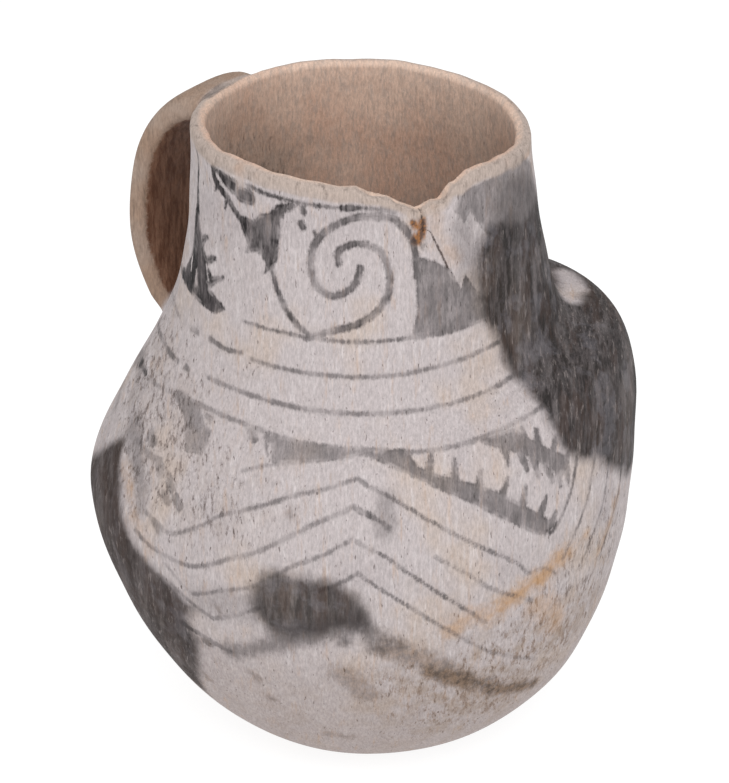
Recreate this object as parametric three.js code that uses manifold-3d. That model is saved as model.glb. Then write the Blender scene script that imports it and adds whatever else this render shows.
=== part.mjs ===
// A hand-built pottery pitcher: a round belly, a short neck that narrows to the lip,
// and a strap handle from the lip down to the shoulder, all of one fired clay.
// Lengths are millimetres, +Z is up. The origin is on the table, at the middle of the flat
// base, and the handle points along -X.
import * as THREE from 'three';
import { mergeVertices } from 'three/addons/utils/BufferGeometryUtils.js';
import Module from 'manifold-3d';

// Outside of the vessel, as mean sizes round the pot
const BASE_RADIUS = 23.5;      // the flat that it stands on
const BELLY_RADIUS = 72.2;
const BELLY_HEIGHT = 77.4;     // table to the widest line
const SHOULDER_RISE = 44.3;    // widest line to the foot of the neck
const NECK_RADIUS = 49.8;      // at the foot of the neck
const NECK_TAPER = 0.29;       // what the radius loses for each millimetre up, at the neck's foot
const NECK_LENGTH = 48.3;      // foot of the neck to the lip
const RIM_RADIUS = 43;         // outside of the lip

// How far each curve runs on along its end before it bends away: a longer run, a fuller curve
const FOOT_SPREAD = 23.7;      // level, out from the base
const FOOT_PULL = 39;          // straight down from the widest line
const SHOULDER_PULL = 28.5;    // straight up from the widest line
const NECK_DROP = 13;          // down from the foot of the neck
const NECK_PULL = 20.5;        // up from the foot of the neck

// Clay thickness
const WALL = 5;
const FLOOR = 6;
const LIP = 4;
const LIP_ROUNDING = 1.6;      // how far the round top of the lip rises over its sides

// The pot is lopsided. Each lean is what a size gains on the side that the pot leans to,
// and loses on the other side.
const LEAN_DIRECTION = THREE.MathUtils.degToRad(36);
const BASE_LEAN = -0.6;
const BELLY_LEAN = -1.8;
const BELLY_HEIGHT_LEAN = 8.1;
const NECK_LEAN = -1.4;
const RIM_LEAN = -2.3;
const RIM_TILT = -1;
const FOOT_SPREAD_LEAN = -1.3;
const FOOT_PULL_LEAN = 19;
const SHOULDER_PULL_LEAN = 17.5;

// Strap handle
const HANDLE_WIDTH = 27;
const HANDLE_THICKNESS = 7.8;
const HANDLE_TOP_DROP = 1.6;   // its upper face under the top of the lip
const HANDLE_GAP = 13.1;       // neck radius to the strap's inner face where it stands out furthest
const HANDLE_FOOT_DROP = 17.3;  // foot of the neck down to where the strap enters the shoulder
const HANDLE_LIFT = 3.5;        // how strongly it rises as it leaves the lip
const HANDLE_FALL = 11;        // how strongly it falls as it runs into the shoulder
const HANDLE_SAG = 4;          // how much further the lower half bows out than the upper
const HANDLE_FLARE = 5;        // extra width where the clay is smeared on at each end
const HANDLE_ROOT = 8;         // how deep each end is set into the clay before it is trimmed

// The piece broken out of the lip: its edge as shares of its width and depth
const CHIP_WIDTH = 31.5;
const CHIP_DEPTH = 6.5;
const CHIP_DIRECTION = THREE.MathUtils.degToRad(-37.5);
const CHIP_EDGE = [
  [-0.5, 0], [-0.42, 0.14], [-0.31, 0.33], [-0.18, 0.56], [-0.09, 0.85], [0, 1],
  [0.09, 0.88], [0.22, 0.79], [0.31, 0.33], [0.42, 0.1], [0.5, 0],
];

// How finely the curves are cut into flats
const SIDES = 64;
const FOOT_ROWS = 10;
const SHOULDER_ROWS = 12;
const NECK_ROWS = 5;
const LIP_ROWS = 4;
const STRAP_STEPS = 26;
const STRAP_SIDES = 16;

const NECK_FOOT = BELLY_HEIGHT + SHOULDER_RISE;
const HEIGHT = NECK_FOOT + NECK_LENGTH;
const CLEAR_ABOVE = 10;        // how far cutting shapes rise past the lip

const wasm = await Module();
wasm.setup();

function solidFrom(geometry) {
  const plain = geometry.clone();
  plain.deleteAttribute('normal');
  plain.deleteAttribute('uv');
  const merged = mergeVertices(plain, 1e-4);
  return new wasm.Manifold(new wasm.Mesh({
    numProp: 3,
    vertProperties: new Float32Array(merged.attributes.position.array),
    triVerts: new Uint32Array(merged.index.array),
  }));
}

function geometryFrom(solid) {
  const { vertProperties, triVerts } = solid.getMesh();
  const geometry = new THREE.BufferGeometry();
  geometry.setAttribute('position', new THREE.BufferAttribute(vertProperties, 3));
  geometry.setIndex(new THREE.BufferAttribute(triVerts, 1));
  geometry.computeVertexNormals();
  return geometry;
}

// Joins closed rings of points into one closed skin, with a fan over the first and last ring.
function skinOver(rings) {
  const count = rings[0].length;
  const points = rings.flat();
  const triangles = [];
  for (let row = 0; row < rings.length - 1; row += 1) {
    for (let i = 0; i < count; i += 1) {
      const a = row * count + i;
      const b = row * count + ((i + 1) % count);
      triangles.push(a, b, b + count, a, b + count, a + count);
    }
  }
  const middle = (ring) => ring.reduce((sum, p) => sum.add(p), new THREE.Vector3()).divideScalar(count);
  const last = (rings.length - 1) * count;
  points.push(middle(rings[0]), middle(rings[rings.length - 1]));
  for (let i = 0; i < count; i += 1) {
    const next = (i + 1) % count;
    triangles.push(points.length - 2, next, i);
    triangles.push(points.length - 1, last + i, last + next);
  }
  const geometry = new THREE.BufferGeometry().setFromPoints(points);
  geometry.setIndex(triangles);
  return geometry;
}

// The sizes of the outside along one direction, with the lean worked in
function sizesToward(angle) {
  const lean = Math.cos(angle - LEAN_DIRECTION);
  return {
    base: BASE_RADIUS + BASE_LEAN * lean,
    belly: BELLY_RADIUS + BELLY_LEAN * lean,
    neck: NECK_RADIUS + NECK_LEAN * lean,
    rim: RIM_RADIUS + RIM_LEAN * lean,
    bellyHeight: BELLY_HEIGHT + BELLY_HEIGHT_LEAN * lean,
    rimHeight: HEIGHT + RIM_TILT * lean,
    footSpread: FOOT_SPREAD + FOOT_SPREAD_LEAN * lean,
    footPull: FOOT_PULL + FOOT_PULL_LEAN * lean,
    shoulderPull: SHOULDER_PULL + SHOULDER_PULL_LEAN * lean,
  };
}

// Outside outline along one direction, from the edge of the base up to the side of the lip.
// Each point is a Vector2 of radius and height.
function outsideOutline(angle) {
  const size = sizesToward(angle);
  const widest = new THREE.Vector2(size.belly, size.bellyHeight);
  const neckFoot = new THREE.Vector2(size.neck, NECK_FOOT);
  const neckSlope = new THREE.Vector2(-NECK_TAPER, 1);
  const foot = new THREE.CubicBezierCurve(
    new THREE.Vector2(size.base, 0),
    new THREE.Vector2(size.base + size.footSpread, 0),
    new THREE.Vector2(size.belly, size.bellyHeight - size.footPull),
    widest,
  );
  const shoulder = new THREE.CubicBezierCurve(
    widest,
    new THREE.Vector2(size.belly, size.bellyHeight + size.shoulderPull),
    neckFoot.clone().addScaledVector(neckSlope, -NECK_DROP),
    neckFoot,
  );
  const neck = new THREE.QuadraticBezierCurve(
    neckFoot,
    neckFoot.clone().addScaledVector(neckSlope, NECK_PULL),
    new THREE.Vector2(size.rim, size.rimHeight - LIP_ROUNDING),
  );
  return [
    ...foot.getPoints(FOOT_ROWS),
    ...shoulder.getPoints(SHOULDER_ROWS).slice(1),
    ...neck.getPoints(NECK_ROWS).slice(1),
  ];
}

// Radius of an outline at a height, between its two nearest points
function radiusAt(outline, height) {
  const above = outline.findIndex((point) => point.y >= height);
  const low = outline[above - 1];
  const high = outline[above];
  return THREE.MathUtils.mapLinear(height, low.y, high.y, low.x, high.x);
}

// The outside moved into the clay, square to the surface, by a share of the clay's thickness.
// A share of 1 gives the inside face, and 0.5 the middle of the wall.
function outlineWithin(angle, share) {
  const outside = outsideOutline(angle);
  const top = outside.length - 1;
  const neckRow = FOOT_ROWS + SHOULDER_ROWS;
  return outside.map((point, row) => {
    const up = Math.max(row - neckRow, 0) / NECK_ROWS;
    const depth = share * THREE.MathUtils.lerp(WALL, LIP, up);
    const along = outside[Math.min(row + 1, top)].clone().sub(outside[Math.max(row - 1, 0)]).normalize();
    if (row === top) along.set(0, 1);
    return new THREE.Vector2(
      point.x - along.y * depth,
      Math.max(point.y + along.x * depth, share * FLOOR),
    );
  });
}

// Round top of the lip, from its outer side over to its inner side
function lipArc(outer, inner) {
  const arc = [];
  for (let i = 1; i < LIP_ROWS; i += 1) {
    const turn = (i / LIP_ROWS) * Math.PI;
    const across = (1 - Math.cos(turn)) / 2;
    arc.push(new THREE.Vector2(
      THREE.MathUtils.lerp(outer.x, inner.x, across),
      outer.y + LIP_ROUNDING * Math.sin(turn),
    ));
  }
  return arc;
}

// Turns a function that gives an outline per direction into a closed solid round the Z axis.
function turned(outlineToward) {
  const outlines = [];
  for (let side = 0; side < SIDES; side += 1) {
    const angle = ((side + 0.5) / SIDES) * Math.PI * 2;
    outlines.push(outlineToward(angle).map(
      (p) => new THREE.Vector3(p.x * Math.cos(angle), p.x * Math.sin(angle), p.y)));
  }
  const rings = outlines[0].map((_, row) => outlines.map((outline) => outline[row]));
  return solidFrom(skinOver(rings));
}

// The pot's own wall: up its outside, over the lip and down its inside to the floor
function makeVessel() {
  return turned((angle) => {
    const outer = outsideOutline(angle);
    const inner = outlineWithin(angle, 1).reverse();
    return [...outer, ...lipArc(outer[outer.length - 1], inner[0]), ...inner];
  });
}

// Everything inside the middle of the wall. It trims what would poke through the wall.
function makeCore() {
  return turned((angle) => {
    const outline = outlineWithin(angle, 0.5);
    const edge = outline[outline.length - 1];
    return [...outline, new THREE.Vector2(edge.x, edge.y + CLEAR_ABOVE)];
  });
}

// Middle line of the strap in the XZ plane, from the middle of the lip to inside the shoulder
function handlePath() {
  const size = sizesToward(Math.PI);
  const topHeight = size.rimHeight - HANDLE_TOP_DROP - HANDLE_THICKNESS / 2;
  const footHeight = NECK_FOOT - HANDLE_FOOT_DROP;
  const start = size.rim - LIP / 2;
  const end = radiusAt(outsideOutline(Math.PI), footHeight) - WALL;
  const reach = NECK_RADIUS + HANDLE_GAP + HANDLE_THICKNESS / 2;
  const pull = (8 * reach - start - end) / 6;
  return new THREE.CubicBezierCurve3(
    new THREE.Vector3(-start, 0, topHeight),
    new THREE.Vector3(HANDLE_SAG - pull, 0, topHeight + HANDLE_LIFT),
    new THREE.Vector3(-HANDLE_SAG - pull, 0, footHeight + HANDLE_FALL),
    new THREE.Vector3(-end, 0, footHeight),
  );
}

// One cross-section of the strap: a flat oval with full, soft edges
function strapRing(centre, along, share) {
  const across = new THREE.Vector3(0, 1, 0);
  const out = along.clone().cross(across).normalize();
  const flare = HANDLE_FLARE * (Math.abs(2 * share - 1) ** 6);
  const squareness = 0.6;
  const ring = [];
  for (let i = 0; i < STRAP_SIDES; i += 1) {
    const turn = (i / STRAP_SIDES) * Math.PI * 2;
    const c = Math.cos(turn);
    const s = Math.sin(turn);
    const side = Math.sign(c) * Math.abs(c) ** squareness * (HANDLE_WIDTH + flare) / 2;
    const face = Math.sign(s) * Math.abs(s) ** squareness * HANDLE_THICKNESS / 2;
    ring.push(centre.clone().addScaledVector(across, side).addScaledVector(out, face));
  }
  return ring;
}

function makeHandle() {
  const path = handlePath();
  const rings = [];
  for (let step = 0; step <= STRAP_STEPS; step += 1) {
    const share = step / STRAP_STEPS;
    rings.push(strapRing(path.getPoint(share), path.getTangent(share), share));
  }
  const rooted = (share, way) => {
    const along = path.getTangent(share);
    return strapRing(path.getPoint(share).addScaledVector(along, way * HANDLE_ROOT), along, share);
  };
  return solidFrom(skinOver([rooted(0, -1), ...rings, rooted(1, 1)]));
}

// What the broken-out piece leaves: a jagged wedge pushed through the near side of the lip
function makeChip() {
  const shape = new THREE.Shape();
  shape.moveTo(-CHIP_WIDTH / 2, CLEAR_ABOVE);
  CHIP_EDGE.forEach(([across, down]) => shape.lineTo(across * CHIP_WIDTH, -down * CHIP_DEPTH));
  shape.lineTo(CHIP_WIDTH / 2, CLEAR_ABOVE);
  const geometry = new THREE.ExtrudeGeometry(shape, { depth: RIM_RADIUS, bevelEnabled: false });
  geometry.rotateX(Math.PI / 2);
  geometry.translate(0, -RIM_RADIUS / 2, 0);
  geometry.rotateZ(CHIP_DIRECTION + Math.PI / 2);
  geometry.translate(0, 0, sizesToward(CHIP_DIRECTION).rimHeight);
  return solidFrom(geometry);
}

function makePitcher() {
  const handle = makeHandle().subtract(makeCore());
  const solid = makeVessel().add(handle).subtract(makeChip());
  const clay = new THREE.MeshStandardMaterial({ color: 0xc9c0bc, roughness: 0.85, metalness: 0 });
  const mesh = new THREE.Mesh(geometryFrom(solid), clay);
  mesh.name = 'pitcher';
  return mesh;
}

const group = new THREE.Group();
group.add(makePitcher());

export default group;
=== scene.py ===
# A hand-built, painted pottery pitcher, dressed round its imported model.
# The pot is one piece of clay, with a fine mesh that repeats the sizes of the model.
# Sizes are millimetres and directions are degrees round the pot, until the mesh is made in metres.
# The handle points along 180 degrees, and the camera looks at the side that faces -54 degrees.
import math

import bmesh
import bpy
import numpy as np
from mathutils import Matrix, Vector


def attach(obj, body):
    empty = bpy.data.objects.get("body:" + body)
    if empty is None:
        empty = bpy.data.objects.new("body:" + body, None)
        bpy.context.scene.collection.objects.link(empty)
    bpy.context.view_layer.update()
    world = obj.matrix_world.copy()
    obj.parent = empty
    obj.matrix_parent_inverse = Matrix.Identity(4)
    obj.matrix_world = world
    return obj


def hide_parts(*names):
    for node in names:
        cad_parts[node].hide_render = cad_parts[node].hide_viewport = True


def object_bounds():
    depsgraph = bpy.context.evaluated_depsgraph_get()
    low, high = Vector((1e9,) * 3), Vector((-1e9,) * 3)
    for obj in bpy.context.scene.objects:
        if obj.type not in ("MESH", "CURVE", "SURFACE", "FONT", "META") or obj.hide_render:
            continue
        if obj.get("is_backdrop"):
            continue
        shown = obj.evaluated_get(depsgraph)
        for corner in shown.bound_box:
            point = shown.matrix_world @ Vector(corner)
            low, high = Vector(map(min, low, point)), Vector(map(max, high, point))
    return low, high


MM = 0.001

# Outside of the vessel, as mean sizes round the pot
BASE_RADIUS = 23.5
BELLY_RADIUS = 72.2
BELLY_HEIGHT = 77.4
SHOULDER_RISE = 44.3
NECK_RADIUS = 49.8
NECK_TAPER = 0.29
NECK_LENGTH = 48.3
RIM_RADIUS = 43.0
FOOT_SPREAD = 23.7
FOOT_PULL = 39.0
SHOULDER_PULL = 28.5
NECK_DROP = 13.0
NECK_PULL = 20.5
NECK_FOOT = BELLY_HEIGHT + SHOULDER_RISE
HEIGHT = NECK_FOOT + NECK_LENGTH

# Clay thickness
WALL = 5.0
FLOOR = 6.0
LIP = 4.0
LIP_ROUNDING = 1.6
LIP_DROP = 0.2             # what the uneven lip is lower by all round
LIP_LEAN = 0.8             # how far the lip leans in where it stands higher, as a share of the rise

# What each size gains on the side that the pot leans to
LEAN_DIRECTION = 36.0
LEANS = {
    "base": (BASE_RADIUS, -0.6),
    "belly": (BELLY_RADIUS, -1.8),
    "belly_height": (BELLY_HEIGHT, 8.1),
    "neck": (NECK_RADIUS, -1.4),
    "rim": (RIM_RADIUS, -2.3),
    "rim_height": (HEIGHT, -1.0),
    "foot_spread": (FOOT_SPREAD, -1.3),
    "foot_pull": (FOOT_PULL, 19.0),
    "shoulder_pull": (SHOULDER_PULL, 17.5),
}

# Strap handle
HANDLE_DIRECTION = 180.0
HANDLE_WIDTH = 27.0
HANDLE_THICKNESS = 7.8
HANDLE_TOP_DROP = 1.6
HANDLE_GAP = 13.1
HANDLE_FOOT_DROP = 17.3
HANDLE_LIFT = 3.5
HANDLE_FALL = 11.0
HANDLE_SAG = 4.0
HANDLE_FLARE = 5.0
HANDLE_TOP_TAPER = 2.0
HANDLE_ROOT = 8.0
STRAP_SQUARENESS = 0.6
STRAP_STEPS = 76
STRAP_SIDES = 36

# The piece broken out of the lip: its edge as shares of its width and depth
CHIP_WIDTH = 31.5
CHIP_DEPTH = 6.5
CHIP_DIRECTION = -37.5
CHIP_EDGE = [
    (-0.5, 0), (-0.42, 0.14), (-0.31, 0.33), (-0.18, 0.56), (-0.09, 0.85), (0, 1),
    (0.09, 0.88), (0.22, 0.79), (0.31, 0.33), (0.42, 0.1), (0.5, 0),
]
CHIP_ROWS_FROM = 0.55      # share of the neck above which the grid is squeezed under the chip
CHIP_RISE = 0.35           # the broken edge: how high it stands, and its rough and fine grain
CHIP_JAG = 0.45
CHIP_GRAIN = 0.12
CHIP_JAG_STEPS = 120
CHIP_ROUNDED = 1.2         # the lip is still round where less than this is broken off

# The grid of the vessel's skin
FRONT = -54.0
FRONT_HALF = 104.0         # degrees to each side of the front where the grid is fine
FINE_STEP = 1.3
COARSE_STEP = 3.2
FOOT_ROWS = 56
SHOULDER_ROWS = 38
NECK_ROWS = 36
LIP_ROWS = 9
INSIDE_EVERY = 3           # the inside keeps one row in so many
CORE_STEP = 6.0
CORE_ROWS = (14, 14, 8)
TABLE_STEP = 0.5           # between the heights at which the outside is looked up
TABLE_ROWS = (80, 60, 40)
JOINT_REACH = 5.0          # how far from its seam the strap is blended into the wall, and how often
JOINT_ROUNDS = 14
JOINT_PULL = 0.6
JOINT_HALF_TURN = 40
JOINT_FROM = 85
JOINT_BAND = (-2, 1.2)     # what is this far off the wall's outside is wall, and further out strap
SEAM_PART = 200            # points of the seam measured at a time
CIRCLE_STEPS = 2000        # how finely the circle is looked at to share out the columns
COLUMN_FADE = 12.0         # degrees over which the grid turns from fine to coarse
SETTLE_WITHIN = 0.15       # new points this near the round surface are moved onto it
EDGE_CUTS = 2              # how many times an edge is cut where paint begins or ends
EDGE_OUTSIDE = 0.8         # how far outside and inside the paint's edge the skin is cut finer
EDGE_INSIDE = 0.5

# How far from an edge each kind of figure is told, and where each kind of clay begins and ends
PAINT_REACH = 3.0
REACHES = {"cloud": 14.0, "haze": 8.0, "stain": 8.0, "browned": 6.0, "rust": 5.0}
HOLLOW_BAND = (0.35 * LIP, 0.75 * LIP)
STRAP_BAND = (0.6, 3.0)
LIP_BAND = (2.4, 1.2)
CHIP_BAND = (2.2, 0.8)
BROKEN_BAND = (0.2, 1.0)
# The next two bands pick the strap's inner face, where shade is painted.
INWARD_BAND = (0.05, 0.3)
SIDEWAYS_BAND = (0.1, 0.8)
# The foot darkens below the top of the low band, partly barer slip and partly painted shade.
LOW_BAND = (20, 75)
LEFT_BAND = (-105, -85)

# Camera, as it stood for the photograph
AIM = (-0.00105, -0.00076, 0.093)
CAMERA_DISTANCE = 0.927
CAMERA_ELEVATION = math.degrees(0.481)
CAMERA_AZIMUTH = 36.0
CAMERA_LENS = 162.04
SENSOR = 36.0

# Floor and light
WHITE = (1.0, 1.0, 1.0, 1.0)
FLOOR_WIDTH = 12.0
FLOOR_COLOUR = (0.25, 0.25, 0.25, 1.0)
FLOOR_GLOW = 0.85          # keeps the floor as white as the photograph's background
SKY_STRENGTH = 0.74
LIGHT_AZIMUTH = CAMERA_AZIMUTH + 6
LIGHT_ELEVATION = 50
LIGHT_DISTANCE = 1.6
LIGHT_SIZE = 1.0
LIGHT_POWER = 14.0


# Directions and places

def away_from(azimuth, place):
    """Degrees from a direction, the short way round."""
    return (azimuth - place + 180) % 360 - 180


def polar(points):
    """Direction, radius and height of points."""
    azimuth = np.degrees(np.arctan2(points[:, 1], points[:, 0]))
    return azimuth, np.hypot(points[:, 0], points[:, 1]), points[:, 2]


def spots(azimuth, height, radius, places):
    """Soft round spots, by direction, height, width and strength of each."""
    total = 0 * azimuth
    for place, rise, width, strength in places:
        across = np.radians(away_from(azimuth, place)) * radius
        total = total + strength * np.exp(-(across ** 2 + (height - rise) ** 2) / width ** 2)
    return total


# Outline of the pot

def sizes_toward(azimuth):
    lean = np.cos(np.radians(azimuth - LEAN_DIRECTION))
    return {name: mean + gain * lean for name, (mean, gain) in LEANS.items()}


def bezier(points, t):
    """Points of a Bezier curve whose control points are pairs of numbers or arrays."""
    top = len(points) - 1
    weights = [math.comb(top, k) * (1 - t) ** (top - k) * t ** k for k in range(top + 1)]
    return (sum(w * p[0] for w, p in zip(weights, points)),
            sum(w * p[1] for w, p in zip(weights, points)))


def foot_curve(size, t):
    return bezier([
        (size["base"], 0.0),
        (size["base"] + size["foot_spread"], 0.0),
        (size["belly"], size["belly_height"] - size["foot_pull"]),
        (size["belly"], size["belly_height"]),
    ], t)


def shoulder_curve(size, t):
    return bezier([
        (size["belly"], size["belly_height"]),
        (size["belly"], size["belly_height"] + size["shoulder_pull"]),
        (size["neck"] + NECK_DROP * NECK_TAPER, NECK_FOOT - NECK_DROP),
        (size["neck"], NECK_FOOT),
    ], t)


def neck_curve(size, t):
    return bezier([
        (size["neck"], NECK_FOOT),
        (size["neck"] - NECK_PULL * NECK_TAPER, NECK_FOOT + NECK_PULL),
        (size["rim"], size["rim_height"] - LIP_ROUNDING),
    ], t)


def chip_depth(azimuth):
    """How deep the lip is broken away along each direction."""
    across = RIM_RADIUS * np.sin(np.radians(azimuth - CHIP_DIRECTION)) / CHIP_WIDTH
    facing = np.cos(np.radians(azimuth - CHIP_DIRECTION)) > 0
    shares, depths = zip(*CHIP_EDGE)
    return np.where(facing, CHIP_DEPTH * np.interp(across, shares, depths), 0.0)


def broken_at(azimuth):
    """1 where the round top of the lip is gone, 0 where it is whole."""
    return np.clip(chip_depth(azimuth) / CHIP_ROUNDED, 0, 1)


def squeezed_neck(size, azimuth, rows):
    """Steps up the neck, squeezed where the chip takes its top away."""
    steps = np.linspace(0, 1, rows + 1)[1:, None] + 0 * azimuth
    chip_top = sizes_toward(CHIP_DIRECTION)["rim_height"] - chip_depth(azimuth)
    fine = np.linspace(0, 1, 200)[:, None]
    heights = neck_curve(size, fine)[1]
    last = np.array([np.interp(min(top, column[-1]), column, fine[:, 0])
                     for top, column in zip(chip_top, heights.T)])
    above = np.maximum(steps - CHIP_ROWS_FROM, 0)
    return steps - above + above * (last - CHIP_ROWS_FROM) / (1 - CHIP_ROWS_FROM)


def outside_outline(azimuth, rows, chipped=True):
    """Radius and height of the outside, a row per step up and a column per direction."""
    foot_rows, shoulder_rows, neck_rows = rows
    size = sizes_toward(azimuth)
    foot = foot_curve(size, np.linspace(0, 1, foot_rows + 1)[:, None])
    shoulder = shoulder_curve(size, np.linspace(0, 1, shoulder_rows + 1)[1:, None])
    if chipped:
        steps = squeezed_neck(size, azimuth, neck_rows)
    else:
        steps = np.linspace(0, 1, neck_rows + 1)[1:, None]
    neck = neck_curve(size, steps)
    return tuple(np.vstack([foot[k] + 0 * azimuth, shoulder[k], neck[k]]) for k in (0, 1))


def outline_within(radius, height, share, neck_rows):
    """The outline moved into the clay by a share of the wall's thickness."""
    up = np.clip((np.arange(len(radius)) - (len(radius) - 1 - neck_rows)) / neck_rows, 0, 1)
    depth = share * (WALL + (LIP - WALL) * up)[:, None]
    along_radius = np.gradient(radius, axis=0)
    along_height = np.gradient(height, axis=0)
    along_radius[-1] = 0.0
    length = np.hypot(along_radius, along_height)
    return (radius - along_height / length * depth,
            np.maximum(height + along_radius / length * depth, share * FLOOR))


# The pot's nominal outside as a table over direction and height, for everything drawn on it

class Surface:
    """Looks up the outside of the pot by direction and height."""

    def __init__(self):
        self.heights = np.arange(0.0, HEIGHT + 2.0, TABLE_STEP)
        azimuths = np.arange(0.0, 361.0, 1.0)
        radius, height = outside_outline(azimuths, TABLE_ROWS, chipped=False)
        self.radius = np.array([np.interp(self.heights, h, r) for h, r in zip(height.T, radius.T)])

    def look_up(self, table, azimuth, height):
        column = np.mod(azimuth, 360.0)
        row = np.clip(height, 0.0, self.heights[-1]) / TABLE_STEP
        c0 = np.minimum(column.astype(int), table.shape[0] - 2)
        r0 = np.minimum(row.astype(int), table.shape[1] - 2)
        c, r = column - c0, row - r0
        low = table[c0, r0] * (1 - c) + table[c0 + 1, r0] * c
        high = table[c0, r0 + 1] * (1 - c) + table[c0 + 1, r0 + 1] * c
        return low * (1 - r) + high * r

    def radius_at(self, azimuth, height):
        return self.look_up(self.radius, azimuth, height)

    def place(self, azimuth, height):
        radius = self.radius_at(azimuth, height)
        turn = np.radians(azimuth)
        return np.stack([radius * np.cos(turn), radius * np.sin(turn), height], axis=-1)


# Meshes

def grid_faces(rows, columns):
    """Quads of a closed sleeve of rows of points."""
    row, column = np.meshgrid(np.arange(rows - 1), np.arange(columns), indexing="ij")
    following = (column + 1) % columns
    quads = np.stack([
        row * columns + column,
        row * columns + following,
        (row + 1) * columns + following,
        (row + 1) * columns + column,
    ], axis=-1)
    return quads.reshape(-1, 4).tolist()


def mesh_from_rings(name, rings):
    """One closed skin over rings of points, with a fan over the first and the last ring."""
    rings = np.asarray(rings)
    rows, columns = rings.shape[:2]
    points = rings.reshape(-1, 3)
    first, last = len(points), len(points) + 1
    points = np.vstack([points, rings[0].mean(axis=0), rings[-1].mean(axis=0)])
    faces = grid_faces(rows, columns)
    top = (rows - 1) * columns
    for i in range(columns):
        following = (i + 1) % columns
        faces.append((first, following, i))
        faces.append((last, top + i, top + following))
    mesh = bpy.data.meshes.new(name)
    mesh.from_pydata((points * MM).tolist(), [], faces)
    thing = bpy.data.objects.new(name, mesh)
    bpy.context.collection.objects.link(thing)
    return thing


def turned_rings(azimuth, radius, height):
    turn = np.radians(azimuth)
    return np.stack([radius * np.cos(turn), radius * np.sin(turn), height], axis=-1)


def column_azimuths():
    """Directions of the grid's columns: close where the pot is seen, wider behind."""
    around = np.linspace(-180, 180, CIRCLE_STEPS + 1)
    away = np.abs(away_from(around, FRONT))
    step = FINE_STEP + (COARSE_STEP - FINE_STEP) * np.clip((away - FRONT_HALF) / COLUMN_FADE, 0, 1)
    counted = np.concatenate([[0], np.cumsum(360 / CIRCLE_STEPS / ((step[1:] + step[:-1]) / 2))])
    columns = int(round(counted[-1]))
    return np.interp(np.arange(columns) * counted[-1] / columns, counted, around)


def hand_waver(azimuth, height):
    """How far the potter's hand left the wall off its smooth outline."""
    turn = np.radians(azimuth)
    wave = (0.22 * np.sin(3 * turn + 0.045 * height) + 0.16 * np.sin(5 * turn - 0.07 * height + 1.3)
            + 0.12 * np.sin(8 * turn + 0.11 * height + 4.0) + 0.1 * np.sin(0.33 * height + 2 * turn))
    return wave * np.clip(height / 12, 0, 1)


def lip_waver(azimuth):
    """How far the lip rises above its mean height, and how far its wall leans in there."""
    places = [(-12, 15, 1.5), (-95, 45, 1.0), (126, 40, 0.5)]
    rise = 0 * azimuth
    for place, width, gain in places:
        rise = rise + gain * np.exp(-(away_from(azimuth, place) / width) ** 2)
    turn = np.radians(azimuth)
    rise = rise + 0.22 * np.sin(7 * turn + 1) + 0.16 * np.sin(13 * turn) + 0.1 * np.sin(29 * turn)
    return rise * (1 - broken_at(azimuth)) - LIP_DROP


def dents(azimuth, height):
    """Shallow hollows where the clay was pressed."""
    return -spots(azimuth, height, BELLY_RADIUS, [
        (-50, 97, 9, 0.7), (-95, 62, 16, 0.5), (10, 60, 18, 0.5), (-70, 140, 12, 0.4),
        (100, 80, 20, 0.6), (150, 55, 16, 0.5)])


def near_lip(height):
    """How much of the lip's waver reaches each height of the neck."""
    return np.clip((height - NECK_FOOT) / NECK_LENGTH, 0, 1) ** 2


def wall_waver(azimuth, height):
    """How far the wall stands out from its smooth outline."""
    lean = LIP_LEAN * near_lip(height) * lip_waver(azimuth)
    return hand_waver(azimuth, height) + dents(azimuth, height) - lean


def lip_rows(outer, inner, azimuth):
    """The round top of the lip, left flat and rough where the chip broke away."""
    broken = broken_at(azimuth)
    rng = np.random.default_rng(7)
    coarse = rng.normal(size=CHIP_JAG_STEPS)
    around = np.arange(CHIP_JAG_STEPS) * (360 / CHIP_JAG_STEPS) - 180
    rough = np.interp(azimuth, around, coarse)
    rows = []
    for i in range(1, LIP_ROWS):
        share = i / LIP_ROWS
        across = (1 - math.cos(share * math.pi)) / 2
        arch = LIP_ROUNDING * math.sin(share * math.pi)
        jag = CHIP_JAG * rough * math.sin(share * math.pi) + rng.normal(size=len(azimuth)) * CHIP_GRAIN
        rise = arch * (1 - broken) + broken * (CHIP_RISE + jag)
        radius = outer[0] + (inner[0] - outer[0]) * (across * (1 - broken) + share * broken)
        height = outer[1] + (inner[1] - outer[1]) * share + rise
        rows.append((radius, height))
    return rows


def make_vessel():
    azimuth = column_azimuths()
    radius, height = outside_outline(azimuth, (FOOT_ROWS, SHOULDER_ROWS, NECK_ROWS))
    inner_radius, inner_height = outline_within(radius, height, 1.0, NECK_ROWS)
    waver = wall_waver(azimuth, height)
    rise = near_lip(height) * lip_waver(azimuth)
    radius, inner_radius = radius + waver, inner_radius + waver
    height, inner_height = height + rise, inner_height + rise
    kept = np.unique(np.concatenate([np.arange(len(radius) - 1, 0, -INSIDE_EVERY), [0]]))[::-1]
    top = lip_rows((radius[-1], height[-1]), (inner_radius[-1], inner_height[-1]), azimuth)
    all_radii = np.vstack([radius, [r for r, _ in top], inner_radius[kept]])
    all_heights = np.vstack([height, [h for _, h in top], inner_height[kept]])
    return mesh_from_rings("vessel", turned_rings(azimuth, all_radii, all_heights))


def make_core():
    """Everything inside the middle of the wall. It trims the roots of the handle."""
    azimuth = np.arange(-180, 180, CORE_STEP)
    radius, height = outside_outline(azimuth, CORE_ROWS, chipped=False)
    radius, height = outline_within(radius, height, 0.5, CORE_ROWS[-1])
    radius = np.vstack([radius, radius[-1]])
    height = np.vstack([height, height[-1] + 10])
    return mesh_from_rings("core", turned_rings(azimuth, radius, height))


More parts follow.
